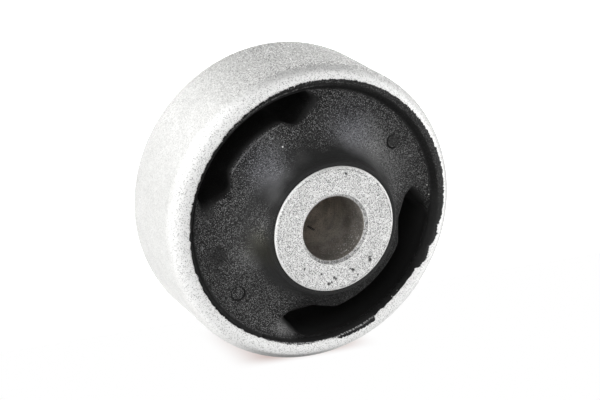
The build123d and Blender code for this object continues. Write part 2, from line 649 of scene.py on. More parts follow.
@dataclass(frozen=True)
class SleeveAluminium(BlastedAluminium):
    """Blasted aluminium with pits in the end face, a matt brown bore and painted highlights along its turned
    edges.

    Attributes:
        pits: Each pit's x, y, height and radius.
        dirt_and_shade_tone: Colour of the dirt in the pits, of the dark specks, lines and scrapes, and of the
            painted shade on the bore's chamfer.
        bore_tone: Colour inside the bore.
        bore_glint: Colour of the painted glints of the grit in the bore.
        streaks: Dark scrapes inside the bore.
        glint_patches: Where the painted glints lie thickest inside the bore.
        turned_line: Radius of the faint dark line that the tool left near the outer edge.
        edge_highlight: Colour of the painted highlights along the turned edges: the outer chamfer and the rim
            of the bore's chamfer.
    """

    pits: tuple[Mark, ...] = ()
    dirt_and_shade_tone: Colour = (0.03, 0.03, 0.03)
    bore_tone: Colour = (0.42, 0.385, 0.345)
    bore_glint: Colour = (1.0, 0.98, 0.95)
    streaks: tuple[Mark, ...] = ((6.09, -1.16, 1.0, 0.3), (6.09, -1.14, 1.6, 0.32), (6.1, -1.13, 2.2, 0.34),
                                 (6.1, -1.1, 2.8, 0.34), (6.1, -1.08, 3.4, 0.28))
    glint_patches: tuple[Mark, ...] = ((6.0, -0.6, 16.2, 2.6), (5.7, 2.3, 15.8, 2.2))
    turned_line: float = 11.42
    edge_highlight: Colour = (0.75, 0.75, 0.74)

    def stain(self, colour: Field, place: Field, where: Fields, specks: Fields) -> Field:
        """Return the colour with the pits, the painted highlights on the turned edges, the painted shade on
        the bore's chamfer and the bore.
        """
        radius, bore = where["Radius"], BushSizes.bore_radius
        ream = bore + InnerSleeve.bore_chamfer
        cloud = place.noise(3.0, 3.0, 0.6)
        pricks = Speckle().on(place, Size=0.15, Cover=0.3)["Dots"]
        pitted = spots(place.pushed(0.3, 0.12), self.pits, 0.5)
        # Painted shade across the bore's chamfer, only on the side that faces +X.
        band = radius.span(bore + 0.05, bore + 0.15) * radius.fall(ream - 0.14, ream - 0.04)
        far = abs(where["Turn"]).span(130.0, 80.0)
        uneven = place.noise(0.35, 2.0, 0.6).span(0.35, 0.6, 0.15, 0.6)
        turned = abs(radius - self.turned_line).fall(0.03, 0.1)
        # The third of these is the painted shade on the chamfer; the rest are dirt and tool marks.
        for dirt in (pricks * 0.9, pitted * 0.85, band * far * uneven, turned * cloud.span(0.4, 0.6) * 0.6):
            colour = dirt.blend(colour, self.dirt_and_shade_tone)
        # Painted highlights along the outer chamfer and the rim of the bore's chamfer.
        edges = radius.span(11.7, 11.8).most(abs(radius - ream).fall(0.0, 0.1))
        colour = (edges * 0.7).blend(colour, self.edge_highlight)
        inside = radius.fall(bore + 0.01, bore + 0.05)
        return inside.blend(colour, self.bore(place, where, specks, cloud))

    def bore(self, place: Field, where: Fields, specks: Fields, cloud: Field) -> Field:
        """Return the bore's colour: darker upwards and in clouds, with painted glints and dark scrapes."""
        tone = where["Height"].span(2.0, 17.0, 1.8, 0.65).tint(self.bore_tone)
        tone = cloud.span(0.3, 0.7, 0.0, 0.4).blend(tone, self.dirt_and_shade_tone)
        # Painted glints: near white specks in the bore, thickest in two patches near its mouth.
        grit = Speckle().on(place, Size=0.26, Cover=0.34)["Dots"]
        glint_patches = spots(place.pushed(1.5, 1.0), self.glint_patches, 0.6)
        tone = (grit * glint_patches.mix(0.3, 1.0)).blend(tone, self.bore_glint)
        tone = (specks["Dots"] * 0.5).blend(tone, self.dirt_and_shade_tone)
        return spots(place, self.streaks, 0.5).blend(tone, self.dirt_and_shade_tone)


@dataclass(frozen=True)
class MouldedRubber(Finish):
    """Matt charcoal rubber: grained on its faces, smooth at the hub and in the voids.

    Attributes:
        name: The material's name.
        base: Colour of the smooth rubber.
        painted_shade: Colour of the voids' walls and of the pin marks' painted shadows: painted shade.
        glint: Colour of the grain's lightest tips and of the painted highlight along the narrow void's
            bumper.
        film_tone: Colour of the thin flash.
        groove_shade: Colour of the groove inside the flash, darkened as painted shade.
        lining_tone: Colour of the lining across the wide void, which the light reaches, and of the groove on
            that side: painted light.
        fleck_tone: Colour of the pale grit that lies on it.
        bare: Colour of the metal that shows through the film along the bore's edge.
        shine: How strongly the rubber mirrors light.
        smooth_rough: Roughness of the smooth hub.
        grain_rough: Roughness of the grained faces.
        wall_rough: Roughness of the voids' walls.
        lee_shade_loss: Share of its lightness that the rubber between the hub and the wide void loses to
            painted shade.
        film_grain: How much of the faces' grain the flash has.
        bloom: Strength of the blooms.
        blooms: Tint of each bloom and where the rubber has it: a faint blue and a faint olive.
        rubbed: Where the grain is rubbed dark.
        dusty: Where the hub is grained too.
        bumper_highlight: Radius, half width and strength of the painted highlight along the narrow void's
            bumper edge.
        painted_light_spots: Where the rubber is painted lighter as painted sheen or darker as painted shade,
            each with how much it gains.
        pins: Where a painted shadow lies in each ejector pin mark: a circle less a circle shifted from it,
            leaving a dark crescent in one mark and a thin dark ring in the other.
        worn_through: Pairs of angle and how much metal shows there.
        flecks: Where the pale grit lies.
    """

    name: str
    base: Colour = (0.0165, 0.0165, 0.0165)
    painted_shade: Colour = (0.0058, 0.0058, 0.0058)
    glint: Colour = (0.42, 0.42, 0.42)
    film_tone: Colour = (0.0125, 0.0125, 0.0125)
    groove_shade: Colour = (0.0055, 0.0055, 0.0055)
    lining_tone: Colour = (0.0135, 0.0135, 0.0135)
    fleck_tone: Colour = (0.8, 0.8, 0.78)
    bare: Colour = (0.36, 0.36, 0.36)
    shine: float = 0.08
    smooth_rough: float = 0.5
    grain_rough: float = 0.55
    wall_rough: float = 0.95
    lee_shade_loss: float = 0.62
    film_grain: float = 0.35
    bloom: float = 0.8
    blooms: tuple[tuple[Colour, tuple[Mark, ...]], ...] = (
        ((0.97, 0.98, 1.07), ((-15.5, -1.5, 12.0, 7.5), (-8.3, 15.5, 10.5, 8.0))),
        ((1.1, 1.08, 0.86), ((-6.2, -12.5, 16.0, 6.0),)))
    rubbed: tuple[Mark, ...] = ((-8.0, -18.3, 9.7, 2.7), (-15.5, -14.5, 9.7, 1.6), (0.8, 20.4, 9.6, 1.9))
    dusty: tuple[Mark, ...] = ((-14.6, 0.5, 12.0, 4.6), (-12.0, 9.5, 11.5, 4.2), (-9.4, -8.6, 15.0, 5.0))
    bumper_highlight: tuple[float, float, float] = (19.45, 0.16, 0.14)
    # Painted sheen and painted shade in soft spots: positive gains lighten, negative gains darken.
    painted_light_spots: tuple[tuple[Mark, float], ...] = (
        ((-14.8, -2.3, 12.5, 5.0), 3.0), ((-13.6, -0.6, 14.5, 4.0), 2.8), ((-13.2, 4.2, 14.2, 3.2), 0.9),
        ((-15.2, 1.5, 12.3, 3.0), 1.1), ((18.3, 2.6, 10.2, 4.2), -0.45), ((9.6, -17.4, 9.8, 2.4), -0.6),
        ((-8.6, 19.8, 9.7, 3.2), -0.3), ((-5.0, 16.3, 11.0, 7.0), 4.6), ((0.2, 16.8, 11.0, 5.0), 2.2),
        ((-8.3, 13.4, 11.5, 4.5), 2.2), ((4.5, 18.0, 10.5, 5.0), 1.2), ((-4.6, -15.0, 11.5, 4.2), 1.8),
        ((-17.0, 1.8, 10.8, 4.0), 2.2), ((-9.4, -8.6, 15.5, 5.0), 0.5), ((10.8, -10.8, 12.0, 6.5), -0.5),
        ((-15.0, 15.4, 9.7, 4.5), -0.4), ((13.2, -18.6, 9.6, 2.6), 6.5), ((15.2, -17.9, 9.6, 1.8), 5.0),
        ((-12.4, -3.8, 16.4, 3.2), 2.3), ((-7.4, -11.8, 14.0, 3.4), 0.9), ((1.0, 13.5, 14.2, 3.2), 0.8),
        ((-11.6, 13.8, 10.4, 3.2), 0.6), ((-7.0, 13.6, 12.4, 4.0), 0.4), ((-16.4, 17.2, 9.7, 4.5), -0.35),
        ((-6.0, 22.6, 9.7, 4.5), -0.3), ((-16.0, -10.6, 9.9, 3.2), -0.5), ((-18.2, -3.6, 10.0, 2.6), -0.3),
        ((-18.0, 4.0, 10.0, 2.6), -0.25), ((-12.6, -18.6, 9.7, 3.2), -0.2), ((-0.8, 14.0, 13.8, 3.6), 0.8),
        ((-16.0, 10.6, 9.9, 2.8), -0.55), ((0.9, 20.9, 9.6, 1.3), 0.5), ((-15.9, -15.1, 9.7, 2.4), 0.7))
    pins: tuple[tuple[Mark, Mark], ...] = (
        ((0.712, 20.388, 9.6, 1.45), (0.95, 20.7, 9.6, 1.3)),
        ((0.712, -20.388, 9.6, 1.53), (0.72, -20.36, 9.6, 1.25)))
    worn_through: Knots = (
        (-180, 0.15), (-172, 0.0), (-66, 0.0), (-55, 0.95), (-12, 0.7), (-8, 0.0), (135, 0.0), (150, 0.15),
        (180, 0.15))
    flecks: tuple[Mark, ...] = (
        (-15.81, 3.6, 11.43, 0.17), (-21.55, -4.44, 9.7, 0.13), (-20.02, -9.25, 9.7, 0.12),
        (13.98, -14.63, 9.78, 0.14), (12.86, 20.19, 9.7, 0.12), (14.57, 19.29, 9.85, 0.12),
        (15.76, 17.17, 9.7, 0.2))

    def wire(self, place: Field) -> Inputs:
        """Return the shader's inputs, from the grain, the smooth parts, the blooms and the grit."""
        where = AxisPlace().on(place)
        radius, height = where["Radius"], where["Height"]
        level, turn = abs(height), abs(where["Turn"])
        loose = place.pushed(1.2, 0.9)
        # Painted shade: the rubber below the face, in the voids, turns near black.
        walls = level.span(9.2, 7.2)
        rim = radius.span(24.35, 24.7) * level.span(9.95, 10.15)
        film = radius.span(25.45, 25.8) * level.span(10.4, 10.6)
        face = radius.span(13.6, 16.8).most(spots(loose, self.dusty, 0.8))
        grained = face * (1.0 - rim) * level.span(8.8, 9.6) * radius.fall(24.2, 24.45)
        shown = grained.most(film * self.film_grain)
        grain = Speckle().on(place, Size=0.13, Cover=0.45)
        # lift gathers the painted sheen and shade of the spots.
        lift: Value = 1.0
        for mark, gain in self.painted_light_spots:
            lift = spots(loose, (mark,), 1.0) * gain + lift
        # Painted shade on the hub's slope towards the wide void, on its tone and its grain.
        lee_shade = 1.0 - turn.span(62.0, 47.0) * radius.span(13.0, 17.5) * self.lee_shade_loss
        colour = (lift * lee_shade * grained.mix(1.0, grain["Grit"] * 1.7 + 0.15)).tint(self.base)
        # Painted light and shade in the groove inside the flash: dark most of the way round, lighter on the
        # wide void's side.
        wide_side = turn.span(60.0, 50.0)
        colour = rim.blend(colour, wide_side.blend(self.groove_shade, self.lining_tone))
        colour = film.blend(colour, self.film_tone)
        seam = radius.span(24.98, 25.06) * radius.fall(25.3, 25.38) * level.span(10.0, 10.3)
        bits = place.noise(0.32, 2.0, 0.7).span(0.46, 0.54)
        colour = (seam * bits * where["Turn"].round_line(self.worn_through)).blend(colour, self.bare)
        # Painted light on the part of the wide void's lining that the light reaches.
        lit = wide_side * radius.span(23.3, 24.1) * height.span(0.0, 9.0)
        # Void walls near black as painted shade, lighter on the lit part of the lining as painted light.
        colour = walls.blend(colour, lit.blend(self.painted_shade, self.lining_tone))
        patchy = Mottle().on(place, Patch=5.0, Grit=0.8)["Film"].even(0.0, 1.0, 0.55, 1.0)
        rubbed = spots(loose, self.rubbed, 0.6).even(0.0, 1.0, 1.0, 0.25)
        dots = grain["Dots"] * (patchy * rubbed * lee_shade) * shown.even(0.0, 1.0, 0.06, 1.0)
        # Painted highlight along the rounded edge of the narrow void's bumper.
        line, half, strength = self.bumper_highlight
        edge = abs(radius - line).fall(0.0, half) * turn.span(160.0, 163.0) * level.span(8.9, 9.4)
        for light in (dots, edge * strength):
            colour = light.blend(colour, self.glint)
        # Painted shadows in the ejector pin marks.
        for outer, inner in self.pins:
            pin_shadow = spots(place, (outer,), 0.05) * (1.0 - spots(place, (inner,), 0.05))
            colour = pin_shadow.blend(colour, self.painted_shade)
        for hue, marks in self.blooms:
            colour = (spots(loose, marks, 0.9) * self.bloom).blend(colour, hue, "MULTIPLY")
        colour = spots(place, self.flecks, 0.4).blend(colour, self.fleck_tone)
        rings = place.wiring.out("ShaderNodeCombineXYZ", {0: radius * MM, 1: height * MM})
        streaks = rings.vector("ADD", place.vector("MULTIPLY", (0.1, 0.1, 0.1))).noise(0.5, 2.0, 0.6)
        rough = grained.mix(self.smooth_rough, self.grain_rough) + streaks.span(0.3, 0.7, -0.07, 0.07)
        relief = grain["Relief"] * shown + streaks * 0.12
        return {"Base Color": colour, "Roughness": walls.mix(rough, self.wall_rough),
                "Specular IOR Level": self.shine, "Normal": relief.bump(0.9, 0.09)}


# ---------------------------------------------------------------- the sleeves


def ring_object(name: str, angle: Array, radius: Array, height: Array) -> bpy.types.Object:
    """Make a closed ring from a closed section at each angle.

    Args:
        name: The piece's name.
        angle: Angles of the columns.
        radius: Radius of each row in each column.
        height: Height above mid of each row in each column.

    Returns:
        The linked object.
    """
    rows = radius.shape[1]
    pairs = [(row, (row + 1) % rows) for row in range(rows)]
    return shown_object(name, grid_points(angle, radius, height), strips(len(angle), pairs, rows))


def closed(upper: Array, plain: Array, low: Sequence[int]) -> Array:
    """Return the upper half's rows in each column, with a plainer lower half behind them.

    Args:
        upper: Radius or height of each row in each column of the upper half, from the bore outwards.
        plain: The same for the rows of an even section.
        low: Which of these rows the lower half repeats, in the same order.

    Returns:
        The rows of the whole loop in each column.
    """
    back = plain[low[::-1]]
    return np.concatenate([upper, np.broadcast_to(back, (len(upper), len(back)))], 1)


@dataclass
class OuterSleeve:
    """The turned and blasted aluminium ring round the rubber.

    Attributes:
        name: The piece's name.
        columns: How many columns go round it.
        corner: Rounding of the bore's edge.
        ragged: How uneven that edge is.
        tuck: How far that edge is worked down where the rubber's flash covers it.
        bead: Height of the faint line that the turning tool left where the round meets the side.
        lip: Depth of the faint line between the end face and the round.
        turned: Middle and half width of the stretch where these lines are still to be seen.
    """

    name: str = "outer_sleeve_skin"
    columns: int = 1080
    corner: float = 0.12
    ragged: float = 0.15
    tuck: float = 0.4
    bead: float = 0.06
    lip: float = 0.035
    turned: tuple[float, float] = (125.0, 60.0)

    def build(self) -> bpy.types.Object:
        """Build the ring's mesh."""
        bore, outside, end = BushSizes.outer_bore, BushSizes.outer_radius, BushSizes.outer_end
        big = BushSizes.outer_round
        edge = np.radians(np.linspace(0.0, 90.0, 4))
        lean = np.radians(np.linspace(0.0, 90.0, 25))
        r = [bore + self.corner * (1 - np.cos(edge)), np.linspace(bore + self.corner, outside - big, 8)[1:-1],
             outside - big + big * np.sin(lean), np.full(5, outside)]
        z = [end - self.corner * (1 - np.sin(edge)), np.full(6, end),
             end - big * (1 - np.cos(lean)), np.array([6.0, 4.0, 2.0, 1.0, 0.0])]
        radius, height = np.concatenate(r), np.concatenate(z)
        swell, around, over = np.zeros((3, len(radius)))
        start = len(r[0]) + len(r[1])
        turned, tilt = slice(start, start + len(lean)), np.degrees(lean)
        around[turned], over[turned] = np.sin(lean), np.cos(lean)
        swell[turned] = (self.bead * np.exp(-((tilt - 79.0) / 3.5) ** 2)
                         - self.lip * np.exp(-((tilt - 6.0) / 3.0) ** 2))
        angle = np.arange(self.columns) * 360.0 / self.columns
        rows = np.array([1.0, 1.0, 1.0, 0.8] + [0.0] * (len(radius) - 4))
        hidden = smooth_step((Flash().radius(angle) - bore - 0.3) / 0.3)[:, None]
        uneven = self.ragged * (1.0 - 0.8 * hidden) * Ripple(31, 80, 480, 60).at(angle)[:, None] * rows
        middle, half = self.turned
        seen = smooth_step(2.0 - 2.0 * np.abs(angle_gap(angle, middle)) / half)
        wave = (seen * (0.8 + 0.4 * Ripple(32, 2, 9, 6).at(angle)))[:, None]
        top_r = radius + uneven + wave * swell * around
        tucked = np.array([1.0] * 5 + [0.0] * (len(radius) - 5))
        top_z = height + wave * swell * over - self.tuck * hidden * tucked
        low = [0, 3, *range(10, 35, 4), 37]
        return ring_object(self.name, angle, closed(top_r, radius, low), closed(top_z, -height, low))

    def dress(self) -> bpy.types.Object:
        """Build the piece, give it its finish and hang it on the frame."""
        finish = RingAluminium("blasted_ring", contrast=0.25, cover=0.4, relief=0.04)
        return hang(self.build(), Slot.OUTER, finish)


@dataclass
class InnerSleeve:
    """The thick aluminium tube at the middle, with a pitted end face.

    Attributes:
        name: The piece's name.
        columns: How many columns go round it.
        face_rows: How many rows the upper end face has.
        chamfer: Width of the outer chamfers.
        bore_chamfer: Width of the bore's chamfers.
        burr: Height of the turned edge under the bore's chamfer.
        uneven: How uneven the chamfers' edges are.
        pits: Each pit's radius from the axis, angle, size and depth.
    """

    name: str = "inner_sleeve_skin"
    columns: int = 600
    face_rows: int = 44
    chamfer: float = BushSizes.chamfer
    bore_chamfer: float = 0.65
    burr: float = 0.05
    uneven: float = 0.03
    pits: tuple[Mark, ...] = (
        (10.62, 129.4, 0.3, 0.24), (10.08, 7.2, 0.35, 0.29), (9.54, 9.0, 0.25, 0.22),
        (9.25, -14.7, 0.34, 0.29), (9.43, -39.4, 0.28, 0.24), (9.65, -37.2, 0.2, 0.17),
        (10.51, -44.9, 0.31, 0.26), (10.22, -42.1, 0.19, 0.17), (8.7, -17.5, 0.19, 0.16),
        (8.78, -57.1, 0.21, 0.17), (9.1, -80.8, 0.19, 0.14), (10.64, -12.0, 0.2, 0.17),
        (9.74, 10.9, 0.16, 0.14), (10.88, 87.9, 0.15, 0.12), (10.72, 93.9, 0.12, 0.12),
        (7.7, -151.4, 0.12, 0.12), (11.2, 168.3, 0.12, 0.12))

    def build(self) -> bpy.types.Object:
        """Build the tube's mesh with its pits sunk into the upper end."""
        bore, outside, end = BushSizes.bore_radius, BushSizes.inner_radius, BushSizes.inner_end
        cut, ream = self.chamfer, self.bore_chamfer
        face = np.linspace(bore + ream, outside - cut, self.face_rows)
        r = np.concatenate([[bore, bore, bore, bore - self.burr, bore, bore + ream * 0.35, bore + ream * 0.9],
                            face,
                            [outside - cut * 0.9, outside - cut * 0.4, outside - 0.03, outside, outside]])
        z = np.concatenate([[0.0, 9.0, end - ream - 0.5, end - ream - 0.12, end - ream, end - ream * 0.65,
                             end - ream * 0.1], np.full(self.face_rows, end),
                            [end - cut * 0.06, end - cut * 0.45, end - cut + 0.02, end - cut - 0.3, 0.0]])
        low = [0, 2, 4, 6, 7, 18, 40] + [self.face_rows + k for k in (6, 7, 9, 10, 11)]
        angle = np.arange(self.columns) * 360.0 / self.columns
        first, last = slice(3, 9), slice(self.face_rows + 4, self.face_rows + 10)
        top_r = np.broadcast_to(r, (self.columns, len(r))).copy()
        top_z = np.broadcast_to(z, (self.columns, len(z))).copy()
        for seed, rows, share in ((41, first, [.4, .4, .8, 1, 1, .5]), (42, last, [.5, 1, 1, .6, .2, 0])):
            top_r[:, rows] += self.uneven * Ripple(seed, 20, 200, 40).at(angle)[:, None] * np.array(share)
        plan = polar(top_r, angle[:, None] * np.ones_like(top_r))
        for far, turn, size, depth in self.pits:
            off = plan - polar(far, turn)
            bearing = np.arctan2(off[..., 1], off[..., 0])
            shape = 1.0 + 0.3 * np.sin(2.0 * bearing + far * 9.0) + 0.2 * np.sin(3.0 * bearing + turn)
            reach = np.hypot(off[..., 0], off[..., 1]) / (size * shape)
            top_z -= np.where(top_z > end - cut, depth * smooth_step(1.6 - 1.2 * reach), 0.0)
        loops = (closed(top, plain, low)[:, 1:-1] for top, plain in ((top_r, r), (top_z, -z)))
        return ring_object(self.name, angle, *loops)

    def dress(self) -> bpy.types.Object:
        """Build the piece, give it its finish and hang it on the frame."""
        marks = tuple((*(float(v) for v in polar(far, turn)), BushSizes.inner_end - 0.5 * depth, size * 1.3)
                      for far, turn, size, depth in self.pits)
        finish = SleeveAluminium("blasted_sleeve", base=(0.7, 0.7, 0.695), speck=(0.03, 0.03, 0.03),
                                 grain=0.18, contrast=0.14, cover=0.85, pits=marks)
        return hang(self.build(), Slot.INNER, finish)


# ---------------------------------------------------------------- the rubber body


@dataclass
class VoidShape:
    """Plan outline of one void, the same on both sides of the angle that it faces.

    Attributes:
        facing: Angle of its middle.
        bumper_half: Half the bumper's angle.
        notch_half: Angle of the notch from the middle.
        lining_half: Angle where the lining's arc ends.
        tip_half: Angle of the corner at the tip.
        flank_reach: How far the flank reaches in from the lining.
        soft_inside: How softly its mouth is rounded at the bumper, notch and tip.
        soft_outside: How softly its mouth is rounded at the lining and the tip.
        corner: Radius of the rounded corner at the bumper, at the notch and at both ends of the flank.
        notch_depth: How far the notch cuts in from the bumper.
    """

    facing: float
    bumper_half: float
    notch_half: float
    lining_half: float
    tip_half: float
    flank_reach: float
    soft_inside: tuple[float, float, float]
    soft_outside: tuple[float, float] = (0.2, 3.0)
    corner: tuple[float, float, float, float] = (2.6, 1.7, 1.3, 1.2)
    notch_depth: float = 2.1

    def __post_init__(self) -> None:
        """Work out the outline from the middle of the bumper round to the middle of the lining."""
        bumper, lining = BushSizes.bumper, BushSizes.lining
        corners = [polar(bumper, self.bumper_half), polar(bumper - self.notch_depth, self.notch_half),
                   polar(lining - self.flank_reach, self.tip_half), polar(lining, self.lining_half)]
        along = polar(1.0, self.bumper_half - 90.0)
        back = polar(1.0, self.lining_half - 90.0)
        arcs = []
        for number, corner in enumerate(corners):
            before = along if number == 0 else corners[number - 1] - corner
            after = back if number == 3 else corners[number + 1] - corner
            arcs.append(self.rounded(corner, before, after, self.corner[number]))
        starts = np.degrees(np.arctan2(arcs[0][0][1], arcs[0][0][0]))
        ends = np.degrees(np.arctan2(arcs[3][-1][1], arcs[3][-1][0]))
        bumper_arc = polar(np.hypot(*arcs[0][0]), np.linspace(0.0, starts, 60)[:-1])
        lining_arc = polar(np.hypot(*arcs[3][-1]), np.linspace(ends, 0.0, 90)[1:])
        chain = [bumper_arc]
        for number, arc in enumerate(arcs):
            if number:
                t = np.linspace(0.0, 1.0, 26)[1:-1, None]
                chain.append(arcs[number - 1][-1] * (1 - t) + arc[0] * t)
            chain.append(arc)
        chain.append(lining_arc)
        half = np.concatenate(chain)
        turn = np.degrees(np.arctan2(half[:, 1], half[:, 0]))
        peak = int(np.argmax(turn))
        radius = np.hypot(half[:, 0], half[:, 1])
        self.tip_angle = float(turn[peak])
        self.tip_radius = float(radius[peak])
        self.inner = (np.maximum.accumulate(turn[:peak + 1]), radius[:peak + 1])
        self.outer = (np.maximum.accumulate(turn[peak:][::-1]), radius[peak:][::-1])
        loop = np.concatenate([half, half[::-1] * (1.0, -1.0)])
        spin = np.radians(self.facing)
        self.outline = loop @ np.array([[np.cos(spin), np.sin(spin)], [-np.sin(spin), np.cos(spin)]])
        self.softness = self.edge_radius(loop)

    def rounded(self, corner: Array, before: Array, after: Array, radius: float) -> Array:
        """Return the arc that rounds one corner between the ways to its neighbours."""
        a, b = before / np.linalg.norm(before), after / np.linalg.norm(after)
        half = math.acos(float(np.clip(a @ b, -1, 1))) / 2.0
        reach = radius / math.tan(half)
        middle = (a + b) / np.linalg.norm(a + b)
        centre = corner + middle * radius / math.sin(half)
        first, last = corner + a * reach - centre, corner + b * reach - centre
        start, end = math.atan2(first[1], first[0]), math.atan2(last[1], last[0])
        swing = (end - start + math.pi) % (2 * math.pi) - math.pi
        turn = start + swing * np.linspace(0.0, 1.0, 16)
        return centre + radius * np.stack([np.cos(turn), np.sin(turn)], -1)

    def edge_radius(self, loop: Array) -> Array:
        """Return how softly the void's mouth is rounded at each point of the outline."""
        turn = np.abs(np.degrees(np.arctan2(loop[:, 1], loop[:, 0])))
        radius = np.hypot(loop[:, 0], loop[:, 1])
        bumper, notch, tip = self.soft_inside
        lining, end = self.soft_outside
        inner = np.interp(turn, [0, self.bumper_half - 2, self.notch_half, self.tip_angle],
                          [bumper, bumper, notch, tip])
        outer = np.interp(turn, [0, self.lining_half - 2, self.lining_half + 3, self.tip_angle],
                          [lining, lining, end * 0.7, end])
        outside = smooth_step((radius - self.tip_radius + 0.4) / 0.8)
        return inner * (1 - outside) + outer * outside

    def mouth(self, angle: Array) -> tuple[Array, Array, Array]:
        """Return whether the void is open at each angle, and its inner and outer radius there."""
        off = np.abs(angle_gap(angle, self.facing))
        is_open = off < self.tip_angle - 1e-6
        return is_open, np.interp(off, *self.inner), np.interp(off, *self.outer)

    def drop(self, points: Array) -> Array:
        """Return how far the rounded mouth lowers the face at each plan point."""
        start = self.outline
        step = np.roll(start, -1, 0) - start
        length = np.maximum((step ** 2).sum(-1), 1e-12)
        next_soft = np.roll(self.softness, -1)
        drops = []
        for chunk in np.array_split(points, max(1, len(points) // 4000)):
            t = np.clip(((chunk[:, None] - start) * step).sum(-1) / length, 0, 1)
            gap = np.linalg.norm(chunk[:, None] - start - t[..., None] * step, axis=-1)
            rows, best = np.arange(len(chunk)), gap.argmin(1)
            soft = self.softness[best] * (1 - t[rows, best]) + next_soft[best] * t[rows, best]
            inside = np.clip(soft - gap[rows, best], 0.0, None)
            drops.append(soft - np.sqrt(np.maximum(soft ** 2 - inside ** 2, 0.0)))
        return np.concatenate(drops)


@dataclass
class Flash:
    """The skin of rubber that crept out over the outer sleeve's upper end.

    Attributes:
        reach: Pairs of angle and outer radius along the main stretch.
        torn: Pairs of angle and outer radius of the torn patch.
        sliver: Pairs of angle and outer radius of the thin sliver.
        climb: How many rows the groove's wall takes.
        thick: Height of its inner crest above the sleeve's end.
        crest_share: How far along its width the crest lies.
        nicks: Angles between which its edge is nicked through to the sleeve.
    """

    reach: Knots = (
        (18.2, 24.9), (18.8, 25.35), (20.6, 25.95), (22.8, 26.2), (25, 26.38), (28, 26.15), (29.6, 25.75),
        (30.4, 26.15), (32.5, 26.6), (35.5, 26.75), (37.5, 26.55), (39.4, 26.3), (40.4, 26.65), (43, 26.95),
        (48, 27.08), (58, 27.18), (62, 27.28), (75, 27.12), (92, 26.9), (110, 26.68), (125, 26.37),
        (140, 26.08), (150, 26.0), (158, 25.76), (170, 25.52), (182, 25.4), (188.9, 25.35), (189.2, 24.9))
    torn: Knots = (
        (-28.9, 24.9), (-28.3, 25.6), (-27, 26.0), (-22, 26.08), (-12, 26.2), (-9.7, 26.3), (-9.3, 25.2),
        (-4, 25.1), (5, 25.05), (14, 25.1), (18, 25.2), (19, 24.9))
    sliver: Knots = (
        (-172.0, 24.9), (-168, 25.2), (-150, 25.15), (-130, 25.2), (-105, 25.32), (-90, 25.38), (-78, 25.3),
        (-65, 25.22), (-56, 25.26), (-50, 25.42), (-46, 25.46), (-41, 25.42), (-36, 25.2), (-31, 25.3),
        (-28.5, 25.4), (-27.9, 24.9))
    climb: int = 7
    thick: float = 0.36
    crest_share: float = 0.37
    nicks: tuple[float, float] = (145.0, 189.0)

    def radius(self, angle: Array) -> Array:
        """Return the outer radius of the flash at each angle, uneven as a torn edge is."""
        bore = BushSizes.outer_bore
        out = np.full(len(angle), bore)
        for knots, middle in ((self.reach, 103.0), (self.torn, -19.0), (self.sliver, -105.0)):
            turns, reaches = np.array(knots).T
            out = np.maximum(out, np.interp(angle_gap(angle, middle), turns - middle, reaches, bore, bore))
        amount = smooth_step((out - bore) / 0.4)
        rough = 0.1 * Ripple(5, 150, 420, 40).at(angle) + 0.07 * Ripple(6, 40, 120, 20).at(angle)
        first, last = self.nicks
        turn = np.asarray(angle) % 360.0
        ripples = Ripple(7, 90, 260, 30).at(angle)
        nicked = smooth_step((ripples - 1.0) * 4.0) * ((turn > first) & (turn < last))
        return np.maximum(out + amount * rough - 0.4 * nicked * amount, bore)

    def rows(self, angle: Array, knee: Array, knee_height: Array) -> tuple[Array, Array]:
        """Return radii and heights from the face's edge up the groove, over the film and back to the bore.

        Args:
            angle: Angles of the columns.
            knee: Radius where the groove starts in each column.
            knee_height: Height there.

        Returns:
            Two arrays with a row per column.
        """
        bore, end = BushSizes.outer_bore, BushSizes.outer_end
        edge = self.radius(angle)
        amount = smooth_step((edge - bore) / 0.35)
        crest = bore + self.crest_share * (edge - bore)
        thick = amount * self.thick * (1.0 + 0.12 * Ripple(8, 20, 90, 20).at(angle))
        t = (np.arange(1, self.climb + 1) / self.climb)[None]
        rise = np.where(amount[:, None] > 0.5, np.sin(0.5 * np.pi * t), t)
        wall_r = knee[:, None] + (crest - knee)[:, None] * t
        wall_z = knee_height[:, None] + (end + thick - knee_height)[:, None] * rise
        along = np.array([0.12, 0.3, 0.5, 0.7, 0.86, 0.96, 1.0])
        share = np.array([0.97, 0.88, 0.78, 0.7, 0.62, 0.45, 0.0])
        film_r = crest[:, None] + (edge - crest)[:, None] * along
        waves = [Ripple(60 + k, 60, 300, 30).at(angle) for k in range(len(along))]
        grain = 0.03 * amount[:, None] * np.stack(waves, 1)
        grain[:, -1] = 0.0
        film_z = ring_height(film_r) + thick[:, None] * share + grain - 0.01 * (share == 0.0)
        under_r, under_z = np.full((len(angle), 1), bore), np.full((len(angle), 1), end - 0.01)
        return np.concatenate([wall_r, film_r, under_r], 1), np.concatenate([wall_z, film_z, under_z], 1)


